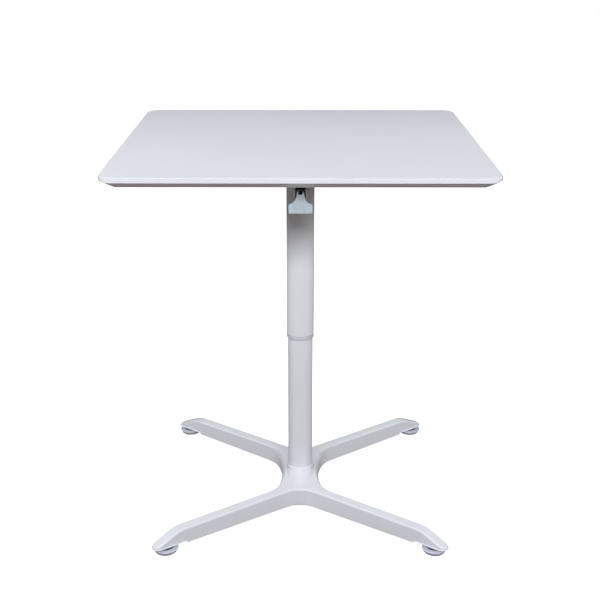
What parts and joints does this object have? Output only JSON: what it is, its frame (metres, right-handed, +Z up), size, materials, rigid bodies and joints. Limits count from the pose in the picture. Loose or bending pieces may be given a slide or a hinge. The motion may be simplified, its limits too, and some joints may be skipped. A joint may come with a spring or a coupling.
{
  "type": "pedestal table",
  "caption": "Square-topped pedestal table with a two-stage round column that slides in height on a locking gas spring, a release lever under the top and a cross-shaped cast base.",
  "frame": {"origin": "on the floor, on the column's axis", "axes": "+Z up, -Y towards the user's side with the release lever, X across"},
  "size_m": [0.8, 0.8, 0.895],
  "materials": {
    "top_white": "satin white lacquer over fibreboard",
    "white_powder": "smooth off-white powder coat",
    "base_white": "fine off-white powder coat on a casting",
    "head_alloy": "bare die-cast alloy",
    "lever_metal": "zinc-plated stamped steel",
    "white_plastic": "moulded white guide plastic",
    "grey_plastic": "moulded grey guide plastic",
    "foot_plastic": "pale blue-white moulded plastic",
    "sole_grey": "grey non-slip pad",
    "black_rubber": "black seal rubber",
    "zinc_steel": "zinc-plated steel",
    "bare_steel": "plain turned steel",
    "black_steel": "black powder coat",
    "bare_aluminium": "machined aluminium",
    "chromed_rod": "hard-chromed rod"
  },
  "bodies": {
    "base": {"base_casting": "base_white", "base_bolt": "zinc_steel", "base_washer": "zinc_steel", "tube_foot_plate": "bare_steel", "lower_tube": "white_powder", "upper_guide_sleeve": "grey_plastic", "tube_plug": "bare_aluminium", "gas_cylinder": "black_steel", "rod_seal": "black_rubber", "cylinder_nut": "zinc_steel", "foot_bushes": "bare_steel"},
    "column": {"upper_tube": "white_powder", "lower_guide_bush": "white_plastic", "column_head": "head_alloy", "head_screws": "zinc_steel", "gas_rod": "chromed_rod", "gas_piston": "bare_aluminium", "rod_nut": "zinc_steel", "lever_pivot_pin": "bare_steel", "lever_spacers": "grey_plastic", "top_spider": "black_steel", "spider_bolts": "zinc_steel", "tabletop": "top_white", "threaded_inserts": "zinc_steel", "top_screws": "zinc_steel"},
    "lever": {"release_lever": "lever_metal"},
    "pin": {"release_pin": "bare_steel"},
    "foot_front_left": {"foot_pad_front_left": "foot_plastic", "foot_sole_front_left": "sole_grey"},
    "stem_front_left": {"foot_stem_front_left": "zinc_steel"},
    "foot_front_right": {"foot_pad_front_right": "foot_plastic", "foot_sole_front_right": "sole_grey"},
    "stem_front_right": {"foot_stem_front_right": "zinc_steel"},
    "foot_back_left": {"foot_pad_back_left": "foot_plastic", "foot_sole_back_left": "sole_grey"},
    "stem_back_left": {"foot_stem_back_left": "zinc_steel"},
    "foot_back_right": {"foot_pad_back_right": "foot_plastic", "foot_sole_back_right": "sole_grey"},
    "stem_back_right": {"foot_stem_back_right": "zinc_steel"}
  },
  "joints": [
    {"name": "height_slide", "type": "slide", "parent": "base", "child": "column", "axis": [0, 0, 1], "range_m": [-0.16, 0.06]},
    {"name": "lever_pull", "type": "hinge", "parent": "column", "child": "lever", "pos_m": [0, -0.014, 0.777], "axis": [-1, 0, 0], "range_deg": [0, 12], "stiffness_Nm_per_rad": 3, "springref_deg": -6.88},
    {"name": "pin_press", "type": "slide", "parent": "column", "child": "pin", "axis": [0, 0, -1], "range_m": [0, 0.0035]},
    {"name": "foot_height_front_left", "type": "slide", "parent": "base", "child": "foot_front_left", "axis": [0, 0, -1], "range_m": [0, 0.008]},
    {"name": "foot_screw_front_left", "type": "hinge", "parent": "foot_front_left", "child": "stem_front_left", "pos_m": [-0.30899, -0.30574, 0.015], "axis": [0, 0, -1], "range_deg": [0, 2306]},
    {"name": "foot_height_front_right", "type": "slide", "parent": "base", "child": "foot_front_right", "axis": [0, 0, -1], "range_m": [0, 0.008]},
    {"name": "foot_screw_front_right", "type": "hinge", "parent": "foot_front_right", "child": "stem_front_right", "pos_m": [0.30899, -0.30574, 0.015], "axis": [0, 0, -1], "range_deg": [0, 2306]},
    {"name": "foot_height_back_left", "type": "slide", "parent": "base", "child": "foot_back_left", "axis": [0, 0, -1], "range_m": [0, 0.008]},
    {"name": "foot_screw_back_left", "type": "hinge", "parent": "foot_back_left", "child": "stem_back_left", "pos_m": [-0.30899, 0.30574, 0.015], "axis": [0, 0, -1], "range_deg": [0, 2306]},
    {"name": "foot_height_back_right", "type": "slide", "parent": "base", "child": "foot_back_right", "axis": [0, 0, -1], "range_m": [0, 0.008]},
    {"name": "foot_screw_back_right", "type": "hinge", "parent": "foot_back_right", "child": "stem_back_right", "pos_m": [0.30899, 0.30574, 0.015], "axis": [0, 0, -1], "range_deg": [0, 2306]}
  ],
  "couplings": [
    {"joint": "pin_press", "follows": "lever_pull", "m_per_rad": 0.0155},
    {"joint": "foot_screw_front_left", "follows": "foot_height_front_left", "rad_per_m": 5026.5},
    {"joint": "foot_screw_front_right", "follows": "foot_height_front_right", "rad_per_m": 5026.5},
    {"joint": "foot_screw_back_left", "follows": "foot_height_back_left", "rad_per_m": 5026.5},
    {"joint": "foot_screw_back_right", "follows": "foot_height_back_right", "rad_per_m": 5026.5}
  ]
}
